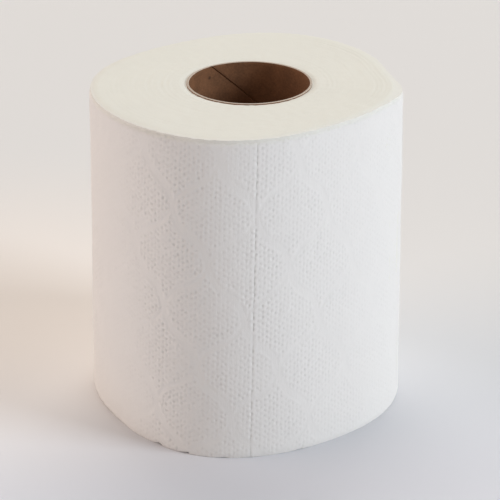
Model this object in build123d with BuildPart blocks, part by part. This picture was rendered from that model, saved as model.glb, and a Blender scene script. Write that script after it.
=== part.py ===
"""A standing roll of toilet tissue: one winding of sheet on a spiral-wound card core.

Millimetres, +Z up. The origin is on the core's axis, at the level that the roll stands on.
Angles are in degrees about that axis, counted from +X. The sheet's tail is its outer end, and
from there the sheet runs towards greater angles and inwards.
"""

import os
from math import asin, cos, exp, pi, radians, sin, tan

from build123d import *

# The sheet: its width is the roll's height, and its length lies between two perforation lines
sheet_width = 102.0
sheet_length = 104.0
sheet_thickness = 0.45

# The winding: a circle that its neighbours in the pack pressed out of round, wider at its foot
winding_radius = 47.5
foot_flare = 0.9
ovality_foot = 0.002
ovality_head = 0.053
oval_direction = 50.0
corner_rise = 0.0235
corner_direction = -13.0
off_centre = 1.25

# At the head one side is flatter, where a neighbour pressed it
flat_side_depth = 1.7
flat_side_direction = 14.0
flat_side_spread = 14.0

# The core: board strip wound on a mandrel at a slant, with its seam showing in the bore
core_outer_radius = 19.0
core_wall = 0.7
board_strip_width = 77.0
seam_width = 0.6
seam_depth = 0.2
seam_head_angle = 130.0

# The turns that show on the ends, fewer and coarser than the real sheet's
shown_turns = 4
turn_groove_width = 0.35
turn_groove_depth = 0.3
turn_groove_lead = 4.0
core_margin = 1.5

# The outermost sheet stands off the winding on one side, from its perforation line to the back,
# and has a corner of its own there
loose_start_angle = -84.0
loose_end_angle = 70.0
loose_gap = 0.5
loose_depth = 7.0
loose_corner_rise = 1.5
loose_corner_direction = -9.0
loose_corner_spread = 10.0

# The perforation lines: slits parted by bonds of uncut sheet. They and the tail lean
perforation_angle = -88.5
perforation_slant = 1.3
slit_pitch = 3.7
slit_length = 2.5
slit_width = 0.4
slit_floor = 0.1

# Places that follow from the sizes
core_bore_radius = core_outer_radius - core_wall
sheet_turn = 360 * sheet_length / (2 * pi * winding_radius)
tail_angle = perforation_angle - sheet_turn
slit_depth = sheet_thickness - slit_floor
slit_count = int((sheet_width - slit_length) / slit_pitch) + 1
seam_lead = 3.0
core_circumference = 2 * pi * core_bore_radius
seam_slope = asin(board_strip_width / core_circumference)
seam_pitch = core_circumference * tan(seam_slope)
seam_foot_angle = seam_head_angle - 360 * (sheet_width + seam_lead) / seam_pitch
seam_spans = 2
seam_span_height = (sheet_width + 2 * seam_lead) / seam_spans
seam_span_overlap = 0.3

# How finely the outlines are drawn, in arcs
outline_arcs = 48
arcs_per_turn = 10
loose_arcs = 18


def swell(angle, direction, spread):
    """A soft bump around the winding: 1 in its direction, and falling to 0 beside it."""
    turned = (angle - direction + 180) % 360 - 180
    return exp(-((turned / spread) ** 2))


def level_radius(angle, height):
    """Radius of the pressed circle about the core's axis, at one height."""
    rise = height / sheet_width
    ovality = ovality_foot + (ovality_head - ovality_foot) * rise
    oval = ovality * cos(2 * radians(angle - oval_direction))
    corners = corner_rise * cos(4 * radians(angle - corner_direction))
    mean_radius = winding_radius + foot_flare * (1 - 2 * rise)
    flat_side = flat_side_depth * rise * swell(angle, flat_side_direction, flat_side_spread)
    return mean_radius * (1 + oval + corners) - flat_side - off_centre * cos(radians(angle))


def loose_corner(angle, height):
    """How far the outer sheet's own corner stands off the pressed circle."""
    rise = height / sheet_width
    return loose_corner_rise * rise * swell(angle, loose_corner_direction, loose_corner_spread)


def outer_face(angle, height, sheet_run):
    """Radius of the outer turn's face, a share of a turn from the tail."""
    surface = level_radius(angle, height) + loose_corner(angle, height)
    return surface - sheet_thickness * sheet_run


def lean(height):
    """How far the tail and the perforation lines have turned from their middle, at one height."""
    return perforation_slant * (2 * height / sheet_width - 1)


def polar(radius, angle):
    """A point of a level sketch."""
    return (radius * cos(radians(angle)), radius * sin(radians(angle)))


def outline(height):
    """The outer turn at one height, from the tail round to the foot of the tail's step."""
    points = []
    for step in range(2 * outline_arcs + 1):
        run = step / (2 * outline_arcs)
        angle = tail_angle + lean(height) + 360 * run
        points.append(polar(outer_face(angle, height, run), angle))
    return points


def turn_edge(height, offset):
    """One edge of the spiral groove between the turns, from the tail's step in to the core."""
    points = []
    steps = 2 * arcs_per_turn * shown_turns
    for step in range(steps + 1):
        run = step / steps
        angle = tail_angle + lean(height) + turn_groove_lead + 360 * shown_turns * run
        outer = level_radius(angle, height) - sheet_thickness
        radius = outer - (outer - core_outer_radius - core_margin) * run
        points.append(polar(radius + offset, angle))
    return points


def arcs_through(points):
    """A run of arcs, each from one point over the next to the one after."""
    for first in range(0, len(points) - 2, 2):
        ThreePointArc(*points[first:first + 3])


def loose_edge(height, outer):
    """The gap's outer or inner side, behind the loose sheet, which closes at both of its ends."""
    points = []
    for step in range(2 * loose_arcs + 1):
        run = step / (2 * loose_arcs)
        angle = loose_start_angle + (loose_end_angle - loose_start_angle) * run
        sheet_run = (angle - tail_angle - lean(height)) / 360
        inner_turn = level_radius(angle, height) - sheet_thickness * (1 + sheet_run)
        gap = loose_gap * sin(pi * run)
        points.append(polar(inner_turn + (loose_corner(angle, height) if outer else -gap), angle))
    return points


# One solid of all the turns, ruled between its foot and its head
with BuildPart() as paper_winding:
    for level in (0, sheet_width):
        with BuildSketch(Plane.XY.offset(level)):
            with BuildLine():
                around = outline(level)
                arcs_through(around)
                Line(around[-1], around[0])
            make_face()
    loft(ruled=True)
    with BuildSketch():
        Circle(core_outer_radius)
    extrude(amount=sheet_width, mode=Mode.SUBTRACT)
    # The turns on both ends
    for level, inwards in ((0, 1), (sheet_width, -1)):
        with BuildSketch(Plane.XY.offset(level)):
            with BuildLine():
                outer_side = turn_edge(level, turn_groove_width / 2)
                inner_side = turn_edge(level, -turn_groove_width / 2)
                arcs_through(outer_side)
                arcs_through(inner_side)
                Line(outer_side[0], inner_side[0])
                Line(outer_side[-1], inner_side[-1])
            make_face()
        extrude(amount=inwards * turn_groove_depth, mode=Mode.SUBTRACT)
    # The gap behind the loose sheet, at the head
    with BuildSketch(Plane.XY.offset(sheet_width)):
        with BuildLine():
            arcs_through(loose_edge(sheet_width, outer=True))
            arcs_through(loose_edge(sheet_width, outer=False))
        make_face()
    extrude(amount=-loose_depth, mode=Mode.SUBTRACT)
    # The perforation lines on the outer turn, a sheet apart
    for line_angle in (perforation_angle, perforation_angle + sheet_turn):
        for slit in range(slit_count):
            slit_height = (sheet_width - (slit_count - 1) * slit_pitch) / 2 + slit * slit_pitch
            angle = line_angle + lean(slit_height)
            face = outer_face(angle, slit_height, (line_angle - tail_angle) / 360)
            with Locations(Location((*polar(face, angle), slit_height), (0, 0, angle))):
                Box(2 * slit_depth, slit_width, slit_length, mode=Mode.SUBTRACT)

paper_winding.part.label = "paper_winding"

# One span of the inner strip's butt seam, a shallow vee that climbs the bore
with BuildPart() as seam_span:
    with BuildLine(Plane.XY.offset(-seam_lead)):
        climb = Helix(seam_pitch, seam_span_height + seam_span_overlap, core_bore_radius)
    with BuildSketch(Plane(origin=climb @ 0, x_dir=(1, 0, 0), z_dir=climb % 0)):
        with BuildLine():
            Polyline((-seam_depth, seam_width), (seam_depth, 0), (-seam_depth, -seam_width), close=True)
        make_face()
    sweep(path=climb, is_frenet=True)

with BuildPart() as core_tube:
    with BuildSketch():
        Circle(core_outer_radius)
        Circle(core_bore_radius, mode=Mode.SUBTRACT)
    extrude(amount=sheet_width)
    for span in range(seam_spans):
        rise = span * seam_span_height
        turned = Location((0, 0, rise), (0, 0, seam_foot_angle + 360 * rise / seam_pitch))
        add(seam_span.part.moved(turned), mode=Mode.SUBTRACT)

core_tube.part.label = "core_tube"

os.makedirs("parts", exist_ok=True)
export_step(paper_winding.part, "parts/paper_winding.step")
export_step(core_tube.part, "parts/core_tube.step")
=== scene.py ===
"""The looks of a standing roll of embossed toilet tissue on its card core.

Lengths are in metres, in the packed model's frame: +Z up, with the origin on the core's axis at
the level that the roll stands on. Angles are in radians about that axis, counted from +X. The
web is the wound sheet, and a length along it is counted from its tail, the outer end.
"""

from math import cos, pi, radians, sin

import bpy
import numpy as np
from bpy.props import FloatProperty, FloatVectorProperty, IntProperty, PointerProperty
from bpy.types import Operator, Panel, PropertyGroup
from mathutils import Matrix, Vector


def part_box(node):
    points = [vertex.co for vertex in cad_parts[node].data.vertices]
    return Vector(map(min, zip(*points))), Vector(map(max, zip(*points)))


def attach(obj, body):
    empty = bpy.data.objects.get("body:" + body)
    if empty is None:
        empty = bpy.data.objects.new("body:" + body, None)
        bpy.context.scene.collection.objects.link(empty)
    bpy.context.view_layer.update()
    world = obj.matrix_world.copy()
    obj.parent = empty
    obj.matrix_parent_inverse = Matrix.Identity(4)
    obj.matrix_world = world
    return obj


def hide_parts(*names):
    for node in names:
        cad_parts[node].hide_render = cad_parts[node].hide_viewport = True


bl_info = {
    "name": "Toilet Tissue Roll",
    "version": (1, 0, 0),
    "blender": (4, 5, 0),
    "location": "3D View > Sidebar > Tissue Roll",
    "description": "Winds embossed tissue and a card core around the packed model of a roll",
    "category": "Object",
}

MM = 0.001
BODY = "root"
WINDING_NODE = "paper_winding"
CORE_NODE = "core_tube"
SOFT_EDGE = 0.5 * MM

# The smooth random waves, named for what they shape: their height, their length and their seed
WAVES = {
    "puckers": (0.1 * MM, 30 * MM, 3),
    "creases": (0.03 * MM, 5 * MM, 4),
    "print depth": (0.3, 17 * MM, 5),
    "fine rag": (0.11 * MM, 1.6 * MM, 11),
    "coarse rag": (0.1 * MM, 9 * MM, 12),
    "uneven winding": (0.03 * MM, 9 * MM, 21),
    "end face": (0.03 * MM, 24 * MM, 22),
    "end grain": (0.04 * MM, 5 * MM, 23),
    "outer edge": (0.18 * MM, 1.5 * MM, 24),
    "shoulder": (0.12 * MM, 2 * MM, 25),
    "bore": (0.05 * MM, 14 * MM, 31),
}

# The small tears at the foot: their directions, and how far each lifts the edge
TEARS = (
    (radians(-122.5), 1.1 * MM), (radians(-111.5), 0.6 * MM), (radians(-97.3), 0.7 * MM),
    (radians(-70), 0.5 * MM))

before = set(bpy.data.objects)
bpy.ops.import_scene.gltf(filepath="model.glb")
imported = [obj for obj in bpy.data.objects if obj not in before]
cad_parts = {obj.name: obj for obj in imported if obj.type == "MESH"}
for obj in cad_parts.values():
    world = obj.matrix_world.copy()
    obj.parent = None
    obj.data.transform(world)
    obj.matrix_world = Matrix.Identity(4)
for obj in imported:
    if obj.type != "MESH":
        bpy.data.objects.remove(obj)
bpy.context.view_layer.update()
winding_low, winding_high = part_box(WINDING_NODE)
core_low, core_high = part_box(CORE_NODE)


def linear(hex_colour):
    """The linear RGB of an sRGB colour written as RRGGBB."""
    channels = [int(hex_colour[place:place + 2], 16) / 255 for place in (0, 2, 4)]
    return [c / 12.92 if c <= 0.04045 else ((c + 0.055) / 1.055) ** 2.4 for c in channels]


class SheetSizes(PropertyGroup):
    """The sheet between two perforation lines, and the lines themselves."""

    width: FloatProperty(
        name="Sheet width", description="Width of the web, which is the roll's height",
        default=winding_high.z - winding_low.z, unit="LENGTH")
    length: FloatProperty(
        name="Sheet length", description="Length of web between two perforation lines",
        default=104 * MM, unit="LENGTH")
    thickness: FloatProperty(
        name="Sheet thickness", description="Thickness of one turn of the two-ply sheet",
        default=0.45 * MM, unit="LENGTH")
    perforation_angle: FloatProperty(
        name="Perforation angle", description="Where the front perforation line stands",
        default=radians(-88.5), unit="ROTATION")
    perforation_slant: FloatProperty(
        name="Perforation slant", description="How far a perforation line leans at both ends",
        default=radians(1.3), unit="ROTATION")
    slit_pitch: FloatProperty(
        name="Slit pitch", description="Distance between two slits of a perforation line",
        default=3.7 * MM, unit="LENGTH")
    slit_length: FloatProperty(
        name="Slit length", description="Length of one slit", default=2.5 * MM, unit="LENGTH")
    slit_width: FloatProperty(
        name="Slit width", description="How far a slit gapes", default=0.07 * MM, unit="LENGTH")
    ridge_height: FloatProperty(
        name="Ridge height", description="Height of the ridges on both sides of a perforation line",
        default=0.03 * MM, unit="LENGTH")


class WindingSizes(PropertyGroup):
    """The pressed circle that the outer turn follows, and the turns under it."""

    radius: FloatProperty(
        name="Radius", description="Mean radius of the winding", default=47.5 * MM, unit="LENGTH")
    foot_flare: FloatProperty(
        name="Foot flare", description="How much wider the foot is, and narrower the head",
        default=0.9 * MM, unit="LENGTH")
    ovality_foot: FloatProperty(
        name="Ovality at the foot", description="Share of the radius", default=0.002)
    ovality_head: FloatProperty(
        name="Ovality at the head", description="Share of the radius", default=0.053)
    oval_direction: FloatProperty(
        name="Oval direction", description="Direction of the long axis", default=radians(50),
        unit="ROTATION")
    corner_rise: FloatProperty(
        name="Corner rise", description="Height of the four soft corners, as a share of the radius",
        default=0.0235)
    corner_direction: FloatProperty(
        name="Corner direction", description="Direction of the first soft corner",
        default=radians(-13), unit="ROTATION")
    off_centre: FloatProperty(
        name="Off centre", description="How far the winding sits off the core's axis",
        default=1.25 * MM, unit="LENGTH")
    flat_side_depth: FloatProperty(
        name="Flat side depth", description="How far the head's flatter side is pressed in",
        default=1.7 * MM, unit="LENGTH")
    flat_side_direction: FloatProperty(
        name="Flat side direction", description="Direction of the flatter side",
        default=radians(14), unit="ROTATION")
    flat_side_spread: FloatProperty(
        name="Flat side spread", description="How wide the flatter side is",
        default=radians(14), unit="ROTATION")
    dent_depth: FloatProperty(
        name="Dent depth", description="How far the head's left front edge is pressed in",
        default=1.7 * MM, unit="LENGTH")
    dent_height: FloatProperty(
        name="Dent height", description="How far down from the head the dent reaches",
        default=25 * MM, unit="LENGTH")
    dent_direction: FloatProperty(
        name="Dent direction", description="Direction of the dent", default=radians(-120),
        unit="ROTATION")
    dent_spread: FloatProperty(
        name="Dent spread", description="How wide the dent is", default=radians(27),
        unit="ROTATION")
    loose_start: FloatProperty(
        name="Loose start", description="Where the outer sheet starts to stand off",
        default=radians(-84), unit="ROTATION")
    loose_end: FloatProperty(
        name="Loose end", description="Where the outer sheet lies close again",
        default=radians(70), unit="ROTATION")
    loose_gap: FloatProperty(
        name="Loose gap", description="Widest gap behind the outer sheet at the head",
        default=0.5 * MM, unit="LENGTH")
    loose_corner_rise: FloatProperty(
        name="Loose corner rise", description="How far the outer sheet's own corner stands off",
        default=1.5 * MM, unit="LENGTH")
    loose_corner_direction: FloatProperty(
        name="Loose corner direction", description="Direction of the outer sheet's own corner",
        default=radians(-9), unit="ROTATION")
    loose_corner_spread: FloatProperty(
        name="Loose corner spread", description="How wide the outer sheet's own corner is",
        default=radians(10), unit="ROTATION")
    kink_rises: FloatVectorProperty(
        name="Kink rises", description="How far two kinks push the outer sheet out at the foot",
        default=(0.5 * MM, 0.9 * MM), size=2, unit="LENGTH")
    kink_height: FloatProperty(
        name="Kink height", description="How far up the kinks reach", default=14 * MM,
        unit="LENGTH")
    kink_directions: FloatVectorProperty(
        name="Kink directions", description="Directions of the two kinks",
        default=(radians(-136), radians(-112)), size=2, unit="ROTATION")
    kink_spreads: FloatVectorProperty(
        name="Kink spreads", description="How wide the two kinks are",
        default=(radians(7), radians(20)), size=2, unit="ROTATION")
    turns: IntProperty(
        name="Turns", description="Turns of web between the outer one and the core", default=61)
    core_dip: FloatProperty(
        name="Core dip", description="How far the turns sink below the core's rim",
        default=0.3 * MM, unit="LENGTH")
    shoulder_turns: FloatProperty(
        name="Shoulder turns", description="How many outer turns are pressed down at the head",
        default=2.6)
    shoulder_dip: FloatProperty(
        name="Shoulder dip", description="How far the outermost of them is pressed down",
        default=0.36 * MM, unit="LENGTH")
    turn_relief: FloatProperty(
        name="Turn relief", description="Depth of the line between two turns on the ends",
        default=0.02 * MM, unit="LENGTH")


class EmbossSizes(PropertyGroup):
    """The embossing: fields of small dots in a trellis of smooth bands."""

    dot_columns: IntProperty(
        name="Dot columns", description="Columns of dots on one sheet, an even number", default=82)
    dot_rows: IntProperty(
        name="Dot rows", description="Dots in one column over the sheet's width", default=55)
    dot_radius: FloatProperty(
        name="Dot radius", description="Radius of one dot", default=0.51 * MM, unit="LENGTH")
    dot_depth: FloatProperty(
        name="Dot depth", description="How deep a dot is pressed", default=0.19 * MM, unit="LENGTH")
    dot_scatter: FloatProperty(
        name="Dot scatter", description="How far dots stray, as a share of their spacing",
        default=0.09, subtype="FACTOR")
    stretch_shares: FloatVectorProperty(
        name="Stretch shares",
        description="How much deeper or flatter the print is on three stretches",
        default=(-0.75, 0.6, -0.42), size=3)
    stretch_directions: FloatVectorProperty(
        name="Stretch directions", description="Directions of the three stretches",
        default=(radians(-150), radians(-121), radians(-34)), size=3, unit="ROTATION")
    stretch_spreads: FloatVectorProperty(
        name="Stretch spreads", description="How wide the three stretches are",
        default=(radians(16), radians(12), radians(24)), size=3, unit="ROTATION")
    trellis_width: FloatProperty(
        name="Trellis width", description="Width of one trellis field", default=24 * MM,
        unit="LENGTH")
    trellis_height: FloatProperty(
        name="Trellis height", description="Height of one trellis field", default=33 * MM,
        unit="LENGTH")
    trellis_turn: FloatProperty(
        name="Trellis turn", description="How far the trellis is turned against the web",
        default=radians(5), unit="ROTATION")
    swing: FloatProperty(
        name="Band swing", description="How far a band swings to each side of its straight line",
        default=1.1 * MM, unit="LENGTH")
    band_width: FloatProperty(
        name="Band width", description="Width of the falling bands", default=2.3 * MM,
        unit="LENGTH")
    branch_width: FloatProperty(
        name="Branch width", description="Width of the rising bands", default=1.2 * MM,
        unit="LENGTH")
    band_depth: FloatProperty(
        name="Band depth", description="How deep the bands are pressed", default=0.07 * MM,
        unit="LENGTH")


class CoreSizes(PropertyGroup):
    """The core, two plies of board strip wound at a slant."""

    outer_radius: FloatProperty(
        name="Outer radius", description="Outer radius of the core",
        default=(core_high.x - core_low.x) / 2, unit="LENGTH")
    wall: FloatProperty(
        name="Wall", description="Thickness of both plies together", default=0.7 * MM,
        unit="LENGTH")
    height: FloatProperty(
        name="Height", description="Height of the core", default=core_high.z - core_low.z,
        unit="LENGTH")
    seam_pitch: FloatProperty(
        name="Seam pitch", description="Rise of the seam in one turn", default=102.8 * MM,
        unit="LENGTH")
    seam_head_angle: FloatProperty(
        name="Seam head angle", description="Where the seam meets the head of the core",
        default=radians(130), unit="ROTATION")
    seam_width: FloatProperty(
        name="Seam width", description="Width of the seam's gap", default=0.6 * MM, unit="LENGTH")
    seam_depth: FloatProperty(
        name="Seam depth", description="Depth of the seam's gap, one ply", default=0.35 * MM,
        unit="LENGTH")
    speck_place: FloatVectorProperty(
        name="Speck place", description="Where the board's one dark speck lies",
        default=(-12.3 * MM, 13.6 * MM, 98.4 * MM), subtype="XYZ", unit="LENGTH")


class FinishColours(PropertyGroup):
    """The colours of the finishes and of the stage."""

    tissue: FloatVectorProperty(
        name="Tissue", description="Face of the bleached tissue", subtype="COLOR",
        default=linear("F1EEEA"))
    tissue_edge: FloatVectorProperty(
        name="Tissue edge", description="Sawn edges of the turns, which look creamier",
        subtype="COLOR", default=linear("EFEDE2"))
    card: FloatVectorProperty(
        name="Card", description="Grey-brown recycled board", subtype="COLOR",
        default=linear("80583B"))
    card_edge: FloatVectorProperty(
        name="Card edge", description="Sawn edge of the board", subtype="COLOR",
        default=linear("D2C3B3"))
    # The near floor is darker and cooler than the far one: painted shade, for the shade that the
    # roll casts in front of it
    floor_near_shaded: FloatVectorProperty(
        name="Near floor", description="Floor in front of the roll, which looks cooler",
        subtype="COLOR", default=linear("E4E5EA"))
    floor_far: FloatVectorProperty(
        name="Far floor", description="Floor behind the roll, which looks warmer",
        subtype="COLOR", default=linear("E9E7E4"))
    # The glow is painted light: a warm pool of light painted on the floor, left of the roll
    floor_painted_glow: FloatVectorProperty(
        name="Floor glow", description="Floor where warm light falls, left of the roll",
        subtype="COLOR", default=linear("F5EDE5"))


GROUPS = {
    "tissue_sheet": SheetSizes,
    "tissue_winding": WindingSizes,
    "tissue_emboss": EmbossSizes,
    "tissue_core": CoreSizes,
    "tissue_finish": FinishColours,
}


def smooth_step(share):
    """An S-shaped ramp from 0 to 1."""
    share = np.clip(share, 0, 1)
    return share * share * (3 - 2 * share)


def swell(angle, direction, spread):
    """A soft bump around the winding: 1 in its direction, and falling to 0 beside it."""
    turned = (angle - direction + pi) % (2 * pi) - pi
    return np.exp(-(turned / spread) ** 2)


def swells(angle, heights, directions, spreads):
    """Several of these bumps together, each with its own height."""
    return sum(
        height * swell(angle, direction, spread)
        for height, direction, spread in zip(heights, directions, spreads))


def fading(distance, reach):
    """1 at an edge, falling evenly to 0 where the reach ends."""
    return np.clip(1 - distance / reach, 0, 1)


def ripple(name, across, along, count=14):
    """One of the smooth random waves over a surface, as a sum of plain ones."""
    height, length, seed = WAVES[name]
    draw = np.random.default_rng(seed)
    directions = draw.uniform(0, pi, count)
    phases = draw.uniform(0, 2 * pi, count)
    stretches = draw.uniform(0.7, 1.4, count)
    total = 0
    for direction, phase, stretch in zip(directions, phases, stretches):
        number = 2 * pi / (length * stretch)
        total = total + np.sin(number * (across * cos(direction) + along * sin(direction)) + phase)
    return height * (total / np.sqrt(2 * count))


class Web:
    """Where the wound sheet lies: its angle and its radius by web length and height."""

    def __init__(self, scene):
        self.sheet = scene.tissue_sheet
        self.winding = scene.tissue_winding
        self.turn_length = 2 * pi * self.winding.radius
        self.tail_angle = self.sheet.perforation_angle - self.sheet.length / self.winding.radius

    def angle(self, web, height):
        """Direction of a place on the web, which leans as its perforation lines do."""
        lean = self.sheet.perforation_slant * (2 * height / self.sheet.width - 1)
        return self.tail_angle + web / self.winding.radius + lean

    def pressed_radius(self, angle, height):
        """Radius of the pressed circle about the core's axis."""
        winding = self.winding
        rise = height / self.sheet.width
        ovality = winding.ovality_foot + (winding.ovality_head - winding.ovality_foot) * rise
        oval = ovality * np.cos(2 * (angle - winding.oval_direction))
        corners = winding.corner_rise * np.cos(4 * (angle - winding.corner_direction))
        mean_radius = winding.radius + winding.foot_flare * (1 - 2 * rise)
        flat = swell(angle, winding.flat_side_direction, winding.flat_side_spread)
        flat_side = winding.flat_side_depth * rise * flat
        dent = winding.dent_depth * swell(angle, winding.dent_direction, winding.dent_spread)
        pressed_in = flat_side + dent * fading(self.sheet.width - height, winding.dent_height) ** 2
        return mean_radius * (1 + oval + corners) - pressed_in - winding.off_centre * np.cos(angle)

    def radius(self, web, height):
        """Radius of the outer turn's face, which spirals in by one thickness each turn."""
        angle = self.angle(web, height)
        step = self.sheet.thickness * web / self.turn_length
        off = self.corner(angle, height) + self.kink(angle, height)
        return self.pressed_radius(angle, height) + off - step

    def kink(self, angle, height):
        """How far two kinks push the outer sheet out at the foot."""
        winding = self.winding
        pushed = swells(
            angle, winding.kink_rises, winding.kink_directions, winding.kink_spreads)
        return pushed * fading(height, winding.kink_height) ** 2

    def corner(self, angle, height):
        """How far the outer sheet's own corner stands off the pressed circle."""
        winding = self.winding
        rise = winding.loose_corner_rise * height / self.sheet.width
        return rise * swell(angle, winding.loose_corner_direction, winding.loose_corner_spread)

    def gap(self, angle, height):
        """How far the outer sheet stands off the turns under it, at the head."""
        winding = self.winding
        share = (angle - winding.loose_start) / (winding.loose_end - winding.loose_start)
        around = np.where((share > 0) & (share < 1), np.sin(pi * np.clip(share, 0, 1)), 0)
        return winding.loose_gap * around * height / self.sheet.width + self.corner(angle, height)

    def slit(self, height):
        """1 in a slit and 0 in a bond of a perforation line."""
        sheet = self.sheet
        count = int((sheet.width - sheet.slit_length) / sheet.slit_pitch) + 1
        first = (sheet.width - (count - 1) * sheet.slit_pitch) / 2
        off = (height - first) / sheet.slit_pitch
        distance = np.abs(off - np.round(off)) * sheet.slit_pitch
        return smooth_step((sheet.slit_length / 2 - distance) / SOFT_EDGE + 0.5)


class Embossing:
    """How far the embossing presses the sheet in, by web length and height."""

    def __init__(self, scene):
        self.sizes = scene.tissue_emboss
        self.column_pitch = scene.tissue_sheet.length / self.sizes.dot_columns
        self.row_pitch = scene.tissue_sheet.width / self.sizes.dot_rows
        # The middle of one field lies just before the front perforation line
        self.centre_web = scene.tissue_sheet.length - 1.2 * MM
        self.centre_height = 62 * MM
        self.head = scene.tissue_sheet.width
        # How each dot strays along the web, in height and in depth, by its column and its row,
        # with more of both than the turn has
        self.strays = np.random.default_rng(7).normal(size=(257, 61, 3))

    def from_bands(self, web, height):
        """Distances from the nearest falling band and from the nearest rising one."""
        sizes = self.sizes
        turn = sizes.trellis_turn
        across = (web - self.centre_web) * cos(turn) - (height - self.centre_height) * sin(turn)
        along = (web - self.centre_web) * sin(turn) + (height - self.centre_height) * cos(turn)
        falling = pi * (across / sizes.trellis_width + along / sizes.trellis_height)
        rising = pi * (across / sizes.trellis_width - along / sizes.trellis_height)
        run = np.hypot(sizes.trellis_width, sizes.trellis_height)
        line_pitch = sizes.trellis_width * sizes.trellis_height / run
        swing = sizes.swing * pi / line_pitch
        falling_off = falling - swing * np.sin(2 * rising) - pi / 2
        rising_off = rising - swing * np.sin(2 * falling) - pi / 2
        return [
            np.abs(off / pi - np.round(off / pi)) * line_pitch - width / 2
            for off, width in ((falling_off, sizes.band_width), (rising_off, sizes.branch_width))]

    def field(self, web, height):
        """1 inside a field and 0 in a band, with a soft edge."""
        falling, rising = self.from_bands(web, height)
        return smooth_step(falling / SOFT_EDGE + 0.5) * smooth_step(rising / SOFT_EDGE + 0.5)

    def dots(self, web, height):
        """1 in the middle of a dot, falling to 0 at its rim, on the fields alone."""
        tallness, depth_scatter, most_scatter = 0.85, 0.22, 2
        overhang, fringe, fringe_scatter = 0.1 * MM, 0.6 * MM, 0.1
        pressed = 0
        for shift in (0, 1):
            column = np.round((web / self.column_pitch - shift) / 2) * 2 + shift
            row = np.round(height / self.row_pitch - shift / 2)
            stray = self.strays[
                column.astype(int) % len(self.strays), row.astype(int) % self.strays.shape[1]]
            stray = np.clip(stray, -most_scatter, most_scatter)
            column = (column + self.sizes.dot_scatter * stray[..., 0]) * self.column_pitch
            row = (row + shift / 2 + self.sizes.dot_scatter * stray[..., 1]) * self.row_pitch
            distance = np.hypot(web - column, (height - row) * tallness)
            dot = smooth_step(1 - distance / self.sizes.dot_radius)
            dot = dot * (1 + depth_scatter * stray[..., 2])
            from_band = np.minimum(*self.from_bands(column, row))
            on_field = smooth_step(
                (from_band + overhang) / fringe + fringe_scatter * stray[..., 2])
            pressed = np.maximum(pressed, dot * on_field)
        return pressed

    def strength(self, web, angle, height):
        """How deep the print is: uneven, and flatter towards both sides of the front."""
        sizes = self.sizes
        stretches = swells(
            angle, sizes.stretch_shares, sizes.stretch_directions, sizes.stretch_spreads)
        flatter_at_head, head_reach = 0.25, 12 * MM
        near_head = smooth_step(1 - (self.head - height) / head_reach)
        uneven = 1 + ripple("print depth", web, height)
        return uneven * (1 + stretches) * (1 - flatter_at_head * near_head)


def on_cylinder(radius, angle, height):
    """Points from cylinder coordinates, as one list of rows."""
    radius, angle, height = np.broadcast_arrays(radius, angle, height)
    points = np.stack([radius * np.cos(angle), radius * np.sin(angle), height], axis=-1)
    return points.reshape(-1, 3)


def grid_faces(numbers):
    """Quads over a grid of vertex numbers, facing along columns x rows."""
    return np.stack(
        [numbers[:-1, :-1], numbers[1:, :-1], numbers[1:, 1:], numbers[:-1, 1:]], axis=-1
    ).reshape(-1, 4).tolist()


def add_piece(context, name, points, faces, materials, replaced):
    """Makes a smooth mesh with sharp edges, and ties it to the packed model."""
    sharp_angle = radians(55)
    mesh = bpy.data.meshes.new(name)
    mesh.from_pydata(points.tolist(), [], faces)
    if mesh.validate():
        raise RuntimeError(f"{name} has broken faces")
    for material in materials:
        mesh.materials.append(material)
    mesh.shade_smooth()
    mesh.set_sharp_from_angle(angle=sharp_angle)
    piece = bpy.data.objects.new(name, mesh)
    context.scene.collection.objects.link(piece)
    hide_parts(replaced)
    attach(piece, BODY)
    return piece


def mark_pressed(piece, pressed):
    """Tells the material how far each point is pressed, as a share of the full depth."""
    piece.data.attributes.new("pressed", "FLOAT", "POINT").data.foreach_set("value", pressed)


def set_inputs(tree, node, inputs):
    """Fills a node's inputs: with values, or with links from an output or a node's first one."""
    for name, value in inputs.items():
        if isinstance(value, bpy.types.Node):
            value = next(output for output in value.outputs if output.enabled)
        if isinstance(value, bpy.types.NodeSocket):
            tree.links.new(value, node.inputs[name])
        else:
            node.inputs[name].default_value = value


def add_node(tree, kind, inputs=None, **settings):
    """Adds a node with its settings and inputs."""
    node = tree.nodes.new(kind)
    for name, value in settings.items():
        setattr(node, name, value)
    set_inputs(tree, node, inputs or {})
    return node


def new_material(name):
    """A node material, with its shader and the place on the piece that its patterns follow."""
    material = bpy.data.materials.new(name)
    material.use_nodes = True
    tree = material.node_tree
    place = add_node(tree, "ShaderNodeTexCoord").outputs["Object"]
    return material, tree, tree.nodes["Principled BSDF"], place


def rgba(colour, factor=1.0):
    """A colour times a factor, with its alpha."""
    return (*(channel * factor for channel in colour), 1)


def mottled(tree, place, colour, shades, grains, details):
    """A fibrous surface: a fine and a coarse noise that mix two shades of one colour."""
    fine, coarse = (
        add_node(tree, "ShaderNodeTexNoise", {
            "Vector": place, "Scale": 1 / grain, "Detail": detail})
        for grain, detail in zip(grains, details))
    both = add_node(tree, "ShaderNodeMath", {0: fine, 1: coarse}, operation="ADD")
    ramp = add_node(tree, "ShaderNodeMapRange", {
        "Value": both, "From Min": 0.7, "From Max": 1.3})
    darker, lighter = (rgba(colour, shade) for shade in shades)
    mixed = add_node(tree, "ShaderNodeMix", {
        "Factor": ramp, "A": darker, "B": lighter}, data_type="RGBA")
    return fine, mixed


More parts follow.
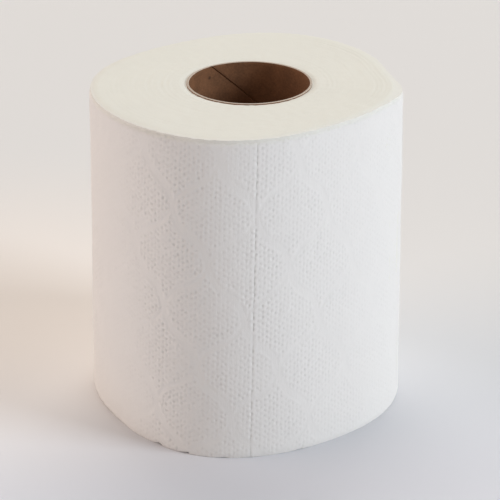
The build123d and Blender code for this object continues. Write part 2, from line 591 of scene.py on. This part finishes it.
def creped_tissue(scene):
    """Bleached, creped and embossed two-ply tissue: chalky, with a faint fuzz of loose fibre."""
    material, tree, shader, place = new_material("creped_tissue")
    colours = scene.tissue_finish
    # Real fibres are about 0.03 mm wide and folds 0.2 mm: both are drawn coarser, so they show
    fibres, paper = mottled(
        tree, place, colours.tissue, shades=(0.985, 1.0), grains=(0.5 * MM, 9 * MM),
        details=(3.0, 2.0))
    # Each pressed dot is painted a little darker: painted shade, standing in for the shade that
    # gathers in the dimples
    dots = add_node(tree, "ShaderNodeAttribute", attribute_name="pressed")
    shaded_dots = add_node(tree, "ShaderNodeMix", {
        "Factor": dots.outputs["Fac"], "A": paper, "B": rgba(colours.tissue, 0.955)},
        data_type="RGBA")
    # The saw's nap reaches a little way down from the head, unevenly
    nap_scatter, nap_end, nap_full = 1.6 * MM, -1.4 * MM, 0.8 * MM
    axes = add_node(tree, "ShaderNodeSeparateXYZ", {"Vector": place})
    uneven = add_node(tree, "ShaderNodeMath", {
        0: fibres, 1: nap_scatter, 2: axes.outputs["Z"]}, operation="MULTIPLY_ADD")
    napped = add_node(tree, "ShaderNodeMapRange", {
        "Value": uneven, "From Min": scene.tissue_sheet.width + nap_end,
        "From Max": scene.tissue_sheet.width + nap_full})
    faced = add_node(tree, "ShaderNodeMix", {
        "Factor": napped, "A": shaded_dots, "B": rgba(colours.tissue_edge)}, data_type="RGBA")
    # The folds run up and down, across the web's run, and are about eight times as long as wide
    crepe_place = add_node(tree, "ShaderNodeMapping", {
        "Vector": place, "Scale": (1.0, 1.0, 0.12)})
    crepe = add_node(tree, "ShaderNodeTexNoise", {
        "Vector": crepe_place, "Scale": 1 / (0.45 * MM), "Detail": 2.0})
    height = add_node(tree, "ShaderNodeMath", {0: fibres, 1: crepe}, operation="ADD")
    bump = add_node(tree, "ShaderNodeBump", {
        "Height": height, "Strength": 0.7, "Distance": 0.06 * MM})
    set_inputs(tree, shader, {
        "Base Color": faced, "Normal": bump,
        "Roughness": 0.92, "IOR": 1.47, "Specular IOR Level": 0.25,
        "Sheen Weight": 0.08, "Sheen Roughness": 0.6})
    return material


def sawn_tissue(scene):
    """The turns' edges where the log saw cut them: napped, a little creamier and softer."""
    material, tree, shader, place = new_material("sawn_tissue_edges")
    colours = scene.tissue_finish
    # The nap's tufts, about 0.2 mm wide, are drawn coarser, so that they show
    nap, paper = mottled(
        tree, place, colours.tissue_edge, shades=(0.975, 1.0), grains=(0.6 * MM, 12 * MM),
        details=(4.0, 2.0))
    # Pressed-down turns show their whiter faces, unevenly
    scatter = 0.6
    shoulder = add_node(tree, "ShaderNodeAttribute", attribute_name="pressed")
    uneven = add_node(tree, "ShaderNodeMath", {
        0: nap, 1: scatter, 2: shoulder.outputs["Fac"]}, operation="MULTIPLY_ADD")
    whiter = add_node(tree, "ShaderNodeMapRange", {
        "Value": uneven, "From Min": 0.5, "From Max": 1.3, "To Max": 0.45})
    faced = add_node(tree, "ShaderNodeMix", {
        "Factor": whiter, "A": paper, "B": rgba(colours.tissue)}, data_type="RGBA")
    bump = add_node(tree, "ShaderNodeBump", {
        "Height": nap, "Strength": 0.3, "Distance": 0.08 * MM})
    set_inputs(tree, shader, {
        "Base Color": faced, "Normal": bump,
        "Roughness": 0.95, "IOR": 1.47, "Specular IOR Level": 0.2})
    return material


def recycled_board(scene):
    """Grey-brown recycled board: matt, mottled, with short fibres and a few dark flecks."""
    material, tree, shader, place = new_material("recycled_core_board")
    colours = scene.tissue_finish
    # The short fibres are drawn coarser too. The mottling is that of pulp from mixed papers
    fibres, board = mottled(
        tree, place, colours.card, shades=(0.72, 1.2), grains=(0.6 * MM, 5 * MM),
        details=(5.0, 3.0))
    flecks = add_node(tree, "ShaderNodeTexNoise", {
        "Vector": place, "Scale": 1 / (1.6 * MM), "Detail": 1.0})
    fleck_mask = add_node(tree, "ShaderNodeMapRange", {
        "Value": flecks, "From Min": 0.8, "From Max": 0.84})
    speck_rim, speck_middle = 0.7 * MM, 0.3 * MM
    to_speck = add_node(tree, "ShaderNodeVectorMath", {
        0: place, 1: tuple(scene.tissue_core.speck_place)}, operation="DISTANCE")
    speck_mask = add_node(tree, "ShaderNodeMapRange", {
        "Value": to_speck, "From Min": speck_rim, "From Max": speck_middle})
    for mask, shade in ((fleck_mask, 0.35), (speck_mask, 0.4)):
        board = add_node(tree, "ShaderNodeMix", {
            "Factor": mask, "A": board, "B": rgba(colours.card, shade)}, data_type="RGBA")
    bump = add_node(tree, "ShaderNodeBump", {
        "Height": fibres, "Strength": 0.3, "Distance": 0.1 * MM})
    set_inputs(tree, shader, {
        "Base Color": board, "Normal": bump,
        "Roughness": 0.85, "IOR": 1.5, "Specular IOR Level": 0.35})
    return material


def sawn_board(scene):
    """The core's sawn rim: paler than its face, because the plies are greyer inside."""
    material, tree, shader, place = new_material("sawn_core_board")
    fibres = add_node(tree, "ShaderNodeTexNoise", {
        "Vector": place, "Scale": 1 / (0.6 * MM), "Detail": 3.0})
    darker, lighter = (rgba(scene.tissue_finish.card_edge, shade) for shade in (0.8, 1.1))
    edge = add_node(tree, "ShaderNodeMix", {
        "Factor": fibres, "A": darker, "B": lighter}, data_type="RGBA")
    set_inputs(tree, shader, {
        "Base Color": edge, "Roughness": 0.9, "IOR": 1.5, "Specular IOR Level": 0.25})
    return material


class TISSUE_OT_outer_sheets(Operator):
    """Makes the embossed sheets of the outer turn, parted by perforation lines"""

    bl_idname = "tissue_roll.outer_sheets"
    bl_label = "Outer Sheets"

    def execute(self, context):
        scene = context.scene
        web = Web(scene)
        embossing = Embossing(scene)
        material = creped_tissue(scene)
        under_tail = 5 * MM
        ends = [0, web.sheet.length, 2 * web.sheet.length, web.turn_length + under_tail]
        for number, (start, end) in enumerate(zip(ends, ends[1:]), 1):
            points, faces, pressed = sheet_mesh(web, embossing, start, end)
            sheet = add_piece(
                context, f"outer_sheet_{number}", points, faces, [material],
                WINDING_NODE)
            mark_pressed(sheet, pressed)
        return {"FINISHED"}


def sheet_mesh(web, embossing, start, end):
    """One sheet: a fine embossed face that wraps over its edges, closed by a coarse back."""
    columns_per_dot, rows_per_dot = 4, 5
    straight_rows = 6
    foot_roll, foot_reach = 0.45 * MM, 2.2 * MM
    head_roll, head_reach = 0.75 * MM, 2.6 * MM
    ridge_place, ridge_spread = 0.9 * MM, 0.5 * MM
    slit_sink = 0.03 * MM
    rim_share, back_share = 0.8, 0.95
    step = embossing.column_pitch / columns_per_dot
    columns = round((end - start) / step)
    rows = embossing.sizes.dot_rows * rows_per_dot
    number = np.arange(columns + 1)[:, None]
    row = np.arange(rows + 1)[None, :]
    along = start + (end - start) * number / columns
    # Every second column of dots sits half a pitch higher, so the grid's rows zigzag with them,
    # except beside the rims
    column = (round(start / step) + number) % (2 * columns_per_dot)
    zigzag = 1 - np.abs(column / columns_per_dot - 1)
    fade = np.clip(np.minimum(row, rows - row) / straight_rows, 0, 1)
    height = web.sheet.width * row / rows + zigzag * fade * embossing.row_pitch / 2
    along = np.broadcast_to(along, height.shape).copy()

    # The face: embossing, puckers, rolled rims, and ridges and slits at the perforation lines
    angle = web.angle(along, height)
    strength = embossing.strength(along, angle, height)
    pressed = strength * embossing.dots(along, height)
    in_band = strength * (1 - embossing.field(along, height))
    lift = -embossing.sizes.dot_depth * pressed - embossing.sizes.band_depth * in_band
    lift += ripple("puckers", along, height) + ripple("creases", along, height)
    lift -= foot_roll * fading(height, foot_reach) ** 2
    lift -= head_roll * fading(web.sheet.width - height, head_reach) ** 2
    from_line = np.minimum(along - start, end - along)
    slits = web.slit(height)
    lift += web.sheet.ridge_height * np.exp(-((from_line - ridge_place) / ridge_spread) ** 2)
    lift -= slit_sink * slits * fading(from_line, SOFT_EDGE)
    for border, way in ((0, 1), (-1, -1)):
        along[border] += way * slits[border] * web.sheet.slit_width / 2

    radius = web.radius(along, height) + lift
    angle = web.angle(along, height)
    height = rough_rims(web, angle, height)
    # The grid goes on over each of its four edges, down the sheet's thickness
    inner = radius - rim_share * web.sheet.thickness
    radius = np.pad(radius, 1, mode="edge")
    radius[0, 1:-1], radius[-1, 1:-1] = inner[0], inner[-1]
    radius[:, 0] = np.pad(inner[:, 0], 1, mode="edge")
    radius[:, -1] = np.pad(inner[:, -1], 1, mode="edge")
    angle = np.pad(angle, 1, mode="edge")
    height = np.pad(height, 1, mode="edge")
    fine = np.arange(radius.size).reshape(radius.shape)
    points = [on_cylinder(radius, angle, height)]
    faces = grid_faces(fine)

    # The coarse back takes one point in every 8 columns and 12 rows of the face
    picked = np.ix_(sparse(fine.shape[0], 8), sparse(fine.shape[1], 12))
    back_radius = web.radius(along, height[1:-1, 1:-1]) - back_share * web.sheet.thickness
    back_radius = np.pad(back_radius, 1, mode="edge")[picked]
    back = np.arange(back_radius.size).reshape(back_radius.shape) + fine.size
    points.append(on_cylinder(back_radius, angle[picked], height[picked]))
    faces += grid_faces(back[::-1])
    for fine_border, back_border in (
            (fine[:, 0], back[:, 0]), (fine[::-1, -1], back[::-1, -1]),
            (fine[-1, :], back[-1, :]), (fine[0, ::-1], back[0, ::-1])):
        faces += border_faces(fine_border.tolist(), back_border.tolist())
    return np.concatenate(points), faces, np.append(np.pad(pressed, 1), np.zeros(back.size))


def sparse(count, step):
    """The numbers below a count that are a step apart, and the last one."""
    return np.append(np.arange(0, count - step // 2, step), count - 1)


def border_faces(fine, coarse):
    """Triangles between a fine border and a coarse one that run the same way."""
    faces = []
    place = 0
    for step in range(len(fine) - 1):
        faces.append([fine[step + 1], fine[step], coarse[place]])
        reached = (step + 1) / (len(fine) - 1) * (len(coarse) - 1)
        while place < len(coarse) - 1 and place + 0.5 <= reached:
            faces.append([fine[step + 1], coarse[place], coarse[place + 1]])
            place += 1
    return faces


def rough_rims(web, angle, height):
    """Heights with the ragged edge that the saw leaves at the head and the foot."""
    rim_reach, tear_width = 2 * MM, radians(5)
    head_rag, head_drop = 1.7, 0.58 * MM
    foot_rag, foot_lift = 0.5, 0.03 * MM
    around = angle * web.winding.radius
    rag = ripple("fine rag", around, 0) + ripple("coarse rag", around, 0)
    # A tear lifts the edge on one side of it
    torn = 0
    for direction, lifted in TEARS:
        before = (direction - angle) / tear_width
        torn = torn + lifted * np.where((before > 0) & (before < 1), 1 - before, 0) ** 2
    at_head = fading(web.sheet.width - height, rim_reach)
    at_foot = fading(height, rim_reach)
    height = height + at_head * (head_rag * rag - head_drop)
    return height + at_foot * (foot_rag * np.abs(rag) + torn + foot_lift)


class TISSUE_OT_wound_turns(Operator):
    """Makes the turns under the outer one, with their edges showing on both ends"""

    bl_idname = "tissue_roll.wound_turns"
    bl_label = "Wound Turns"

    def execute(self, context):
        web = Web(context.scene)
        points, faces, pressed = turns_mesh(web, context.scene.tissue_core.outer_radius)
        turns = add_piece(
            context, "wound_turns", points, faces, [sawn_tissue(context.scene)],
            WINDING_NODE)
        mark_pressed(turns, pressed)
        return {"FINISHED"}


def turns_mesh(web, core_radius):
    """All the inner turns: two ends whose rings follow the spiral, and the walls between them."""
    columns = 360
    rings = 2 * web.winding.turns
    even_turns, core_turns = 3, 5
    overlap, tail_share = 0.4 * web.sheet.thickness, 0.06
    sunk, corner_dip, foot_hollow = 0.05 * MM, 0.15, 0.8 * MM
    ring = np.arange(rings + 3)[:, None]
    column = np.arange(columns)[None, :]
    turn = ring / 2 + column / columns
    width = web.sheet.width
    # The shoulder: the outermost turns are pressed down, the more the nearer they lie to the face
    shoulder = fading(turn, web.winding.shoulder_turns)

    def turn_angle(height):
        return web.angle(web.turn_length * np.broadcast_to(column / columns, turn.shape), height)

    def turn_radius(height):
        angle = turn_angle(height)
        corner = web.corner(angle, height)
        gap = web.gap(angle, height)
        outer = web.pressed_radius(angle, height) + corner - web.sheet.thickness - gap
        depth = np.minimum(turn / web.winding.turns, 1)
        to_core = web.winding.turns - turn
        jitter = ripple("uneven winding", turn * 2 * MM, angle * 20 * MM)
        jitter = jitter * np.clip(turn / even_turns, 0, 1) * np.clip(to_core / even_turns, 0, 1)
        radius = outer + (core_radius - outer) * depth + jitter
        # The first ring reaches over the gap into the outer sheet, except where the tail starts
        radius[0] += ((gap + overlap) * smooth_step((1 - turn) / tail_share))[0]
        radius[0] += ripple("outer edge", angle[0] * web.winding.radius, 0)
        return radius

    def end_relief():
        # The waves count a turn and a radian as so many millimetres, which sets their slant
        angle = turn_angle(0)
        relief = ripple("end face", turn * 8 * MM, angle * 14 * MM)
        relief = relief + ripple("end grain", turn * 0.45 * MM, angle * 40 * MM)
        relief = relief + web.winding.turn_relief * (ring % 2 - 0.5)
        relief = relief + shoulder * ripple("shoulder", turn * 6 * MM, angle * 45 * MM)
        by_core = smooth_step(1 - (web.winding.turns - turn) / core_turns)
        return relief - web.winding.core_dip * by_core - sunk

    used = np.ones(turn.shape, bool)
    used[rings + 1:, 1:] = False
    points = []

    def add_level(height, relief):
        numbers = np.full(used.shape, -1)
        numbers[used] = np.arange(used.sum()) + sum(len(part) for part in points)
        level = on_cylinder(turn_radius(height), turn_angle(height), height + relief)
        points.append(level.reshape(*used.shape, 3)[used])
        return numbers

    dip = web.winding.shoulder_dip * fading(turn, 2 * web.winding.shoulder_turns) ** 2
    dip[0] += corner_dip * web.corner(turn_angle(width), width)[0]
    head = add_level(width, end_relief() - dip)
    # At the foot the turns next to the outer one sit a little higher, so it stands on its rim
    foot = add_level(0.0, np.abs(end_relief()) + foot_hollow * shoulder)

    def wrapped(numbers):
        """The rings with the first column of the ring a turn further on as their last one."""
        return np.concatenate([numbers[:rings + 1], numbers[2:rings + 3, :1]], axis=1)

    def loop(numbers, first):
        """One ring, closed by the step to where the next turn starts."""
        return [*numbers[first], numbers[first + 2, 0], numbers[first + 1, 0]]

    faces = grid_faces(wrapped(head)[::-1]) + grid_faces(wrapped(foot))
    faces += wall_faces(loop(foot, 0), loop(head, 0))
    faces += wall_faces(loop(head, rings), loop(foot, rings))
    return np.concatenate(points), faces, np.tile(shoulder[used], 2)


def wall_faces(lower, upper):
    """Quads of a closed wall between two loops of vertex numbers."""
    return np.stack([lower, np.roll(lower, -1), np.roll(upper, -1), upper], axis=-1).tolist()


class TISSUE_OT_card_core(Operator):
    """Makes the two-ply card core with its spiral seam"""

    bl_idname = "tissue_roll.card_core"
    bl_label = "Card Core"

    def execute(self, context):
        points, faces, on_rim = core_mesh(context.scene.tissue_core)
        board, sawn_edge = recycled_board(context.scene), sawn_board(context.scene)
        core = add_piece(
            context, "card_core", points, faces, [board, sawn_edge], CORE_NODE)
        core.data.polygons.foreach_set("material_index", on_rim)
        return {"FINISHED"}


def core_mesh(core):
    """A tube whose columns follow the seam, closed over both ends."""
    rows, plain_columns = 90, 120
    crease_depth, lip = 0.1 * MM, 0.06 * MM
    half = core.seam_width / 2
    bore = core.outer_radius - core.wall
    # Fine columns, in half widths of the seam: it is open from -1 to 1, with a crease at -3
    fine = np.array([-4.4, -3.3, -3.0, -2.7, -1.25, -1.0, 1.0, 1.25, 4.0]) * half / bore
    rest = np.linspace(fine[-1], 2 * pi + fine[0], plain_columns)[1:-1]
    columns = np.concatenate([fine, rest])
    depth = core.seam_depth * (np.abs(columns) <= half / bore) + crease_depth * (columns == fine[2])
    # The profile runs up the bore, over the head's two plies, down the outside and back. Over the
    # ends it has shares of the wall, and dips in millimetres at the plies' joint and the edge
    profile = [(bore, height, 1) for height in np.linspace(0, core.height, rows + 1)]
    profile[0] = (bore, lip, 1)
    profile[-1] = (bore, core.height - lip, 1)
    over = [(0.08, 0), (0.42, 0), (0.5, 0.12), (0.58, 0), (0.92, 0), (1, 0.06)]
    for share, dip in over:
        profile.append((bore + core.wall * share, core.height - dip * MM, 0))
    for share, dip in reversed(over):
        profile.append((bore + core.wall * share, dip * MM, 0))
    # All its steps are on a sawn rim, except those up the bore and the one down the outside
    step_on_rim = np.ones(len(profile), int)
    step_on_rim[:rows] = 0
    step_on_rim[rows + len(over)] = 0
    radius, height, in_bore = np.array(profile).T[:, None, :]
    lean = core.seam_head_angle + (height - core.height) / core.seam_pitch * 2 * pi
    angle = columns[:, None] + lean
    radius = radius + depth[:, None] * in_bore
    radius = radius + ripple("bore", angle * bore, height * 0.4) * in_bore
    points = on_cylinder(radius, angle, height)
    numbers = np.arange(len(points)).reshape(len(columns), len(profile))
    numbers = np.pad(numbers, (0, 1), mode="wrap")
    return points, grid_faces(numbers[::-1]), np.tile(step_on_rim, len(columns))


class TISSUE_OT_stage(Operator):
    """Makes the pale floor, the soft lights and the camera"""

    bl_idname = "tissue_roll.stage"
    bl_label = "Stage"

    def execute(self, context):
        scene = context.scene
        add_floor(scene)
        add_world(scene)
        add_lights(scene)
        add_camera(scene)
        scene.view_settings.view_transform = "Standard"
        return {"FINISHED"}


def add_floor(scene):
    """A wide disc of matt paint just under the roll's level, no gleam, with painted shade in front
    and painted light at left.
    """
    reach, sides, clearance = 4.0, 96, 0.02 * MM
    glow_place, glow_rim, glow_middle = (-90 * MM, 60 * MM, 0), 150 * MM, 10 * MM
    near_end, far_start = -80 * MM, 120 * MM
    angle = np.linspace(0, 2 * pi, sides, endpoint=False)
    points = on_cylinder(reach, angle, -clearance)
    mesh = bpy.data.meshes.new("floor")
    mesh.from_pydata(points.tolist(), [], [list(range(sides))])
    material, tree, shader, place = new_material("floor_paint_and_painted_light")
    colours = scene.tissue_finish
    # A soft patch left of the roll is painted lighter and warmer: a painted pool of warm light
    to_glow = add_node(tree, "ShaderNodeVectorMath", {
        0: place, 1: glow_place}, operation="DISTANCE")
    glow = add_node(tree, "ShaderNodeMapRange", {
        "Value": to_glow, "From Min": glow_rim, "From Max": glow_middle},
        interpolation_type="SMOOTHSTEP")
    # Darker and cooler towards the front: painted shade in front of the roll
    axes = add_node(tree, "ShaderNodeSeparateXYZ", {"Vector": place})
    back = add_node(tree, "ShaderNodeMapRange", {
        "Value": axes.outputs["Y"], "From Min": near_end, "From Max": far_start},
        interpolation_type="SMOOTHSTEP")
    plain = add_node(tree, "ShaderNodeMix", {
        "Factor": back, "A": rgba(colours.floor_near_shaded), "B": rgba(colours.floor_far)},
        data_type="RGBA")
    paint = add_node(tree, "ShaderNodeMix", {
        "Factor": glow, "A": plain, "B": rgba(colours.floor_painted_glow)}, data_type="RGBA")
    set_inputs(tree, shader, {"Base Color": paint, "Roughness": 0.8, "Specular IOR Level": 0.1})
    mesh.materials.append(material)
    floor = bpy.data.objects.new("floor", mesh)
    scene.collection.objects.link(floor)


def add_world(scene):
    """A soft room that lights the roll from all sides, and a plain pale backdrop to look at."""
    world = bpy.data.worlds.new("soft_room")
    scene.world = world
    world.use_nodes = True
    tree = world.node_tree
    room = tree.nodes["Background"]
    set_inputs(tree, room, {"Color": rgba(linear("FFFCFA")), "Strength": 0.25})
    backdrop = add_node(tree, "ShaderNodeBackground", {
        "Color": rgba(scene.tissue_finish.floor_far), "Strength": 0.9})
    path = add_node(tree, "ShaderNodeLightPath")
    # Gloss shows the backdrop that the camera sees
    mirrored = add_node(tree, "ShaderNodeMath", {
        0: path.outputs["Is Glossy Ray"], 1: path.outputs["Is Transmission Ray"]},
        operation="MAXIMUM")
    seen = add_node(tree, "ShaderNodeMath", {
        0: path.outputs["Is Camera Ray"], 1: mirrored}, operation="MAXIMUM")
    chosen = add_node(tree, "ShaderNodeMixShader", {0: seen, 1: room, 2: backdrop})
    set_inputs(tree, tree.nodes["World Output"], {"Surface": chosen})


def add_lights(scene):
    """A large key from the right, a warm fill from the left and a soft light from behind."""
    middle = Vector((0, 0, 50 * MM))
    for name, place, size, watts, colour in (
            ("key_right", (2.36, -0.85, 1.1), 1.0, 44.0, "EFF7FF"),
            ("fill_left", (-2.15, -0.15, 0.95), 2.0, 24.0, "FFEADF"),
            ("back_soft", (0.0, 1.95, 2.57), 2.4, 45.5, "FFFDFA")):
        light = bpy.data.lights.new(name, "AREA")
        light.shape = "SQUARE"
        light.size = size
        light.energy = watts
        light.color = linear(colour)
        lamp = bpy.data.objects.new(name, light)
        lamp.location = place
        lamp.rotation_euler = (Vector(place) - middle).to_track_quat("Z", "Y").to_euler()
        scene.collection.objects.link(lamp)


def add_camera(scene):
    """A long lens from a little above, as the photograph was taken."""
    elevation = radians(24.76)
    distance = 626.5 * MM
    aim = Vector((0.17 * MM, 0, 46.2 * MM))
    back = Vector((0, -cos(elevation), sin(elevation)))
    lens = bpy.data.cameras.new("camera")
    lens.lens = 144
    lens.sensor_width = 36
    lens.clip_start = 0.01
    lens.clip_end = 20
    camera = bpy.data.objects.new("camera", lens)
    camera.location = aim + distance * back
    camera.rotation_euler = back.to_track_quat("Z", "Y").to_euler()
    scene.collection.objects.link(camera)
    scene.camera = camera


class TISSUE_PT_panel(Panel):
    """Lists the roll's sizes and colours, and the steps that make it"""

    bl_label = "Tissue Roll"
    bl_idname = "TISSUE_PT_panel"
    bl_space_type = "VIEW_3D"
    bl_region_type = "UI"
    bl_category = "Tissue Roll"

    def draw(self, context):
        for operator in OPERATORS:
            self.layout.operator(operator.bl_idname)
        for group_name, group in GROUPS.items():
            box = self.layout.box()
            box.label(text=group.__doc__)
            for size in group.__annotations__:
                box.prop(getattr(context.scene, group_name), size)


OPERATORS = (
    TISSUE_OT_outer_sheets,
    TISSUE_OT_wound_turns,
    TISSUE_OT_card_core,
    TISSUE_OT_stage,
)


def register():
    for group_name, group in GROUPS.items():
        bpy.utils.register_class(group)
        setattr(bpy.types.Scene, group_name, PointerProperty(type=group))
    for operator in OPERATORS:
        bpy.utils.register_class(operator)
    bpy.utils.register_class(TISSUE_PT_panel)


def unregister():
    bpy.utils.unregister_class(TISSUE_PT_panel)
    for operator in reversed(OPERATORS):
        bpy.utils.unregister_class(operator)
    for group_name, group in reversed(GROUPS.items()):
        delattr(bpy.types.Scene, group_name)
        bpy.utils.unregister_class(group)


def main():
    register()
    bpy.ops.tissue_roll.outer_sheets()
    bpy.ops.tissue_roll.wound_turns()
    bpy.ops.tissue_roll.card_core()
    bpy.ops.tissue_roll.stage()


if __name__ == "__main__":
    main()
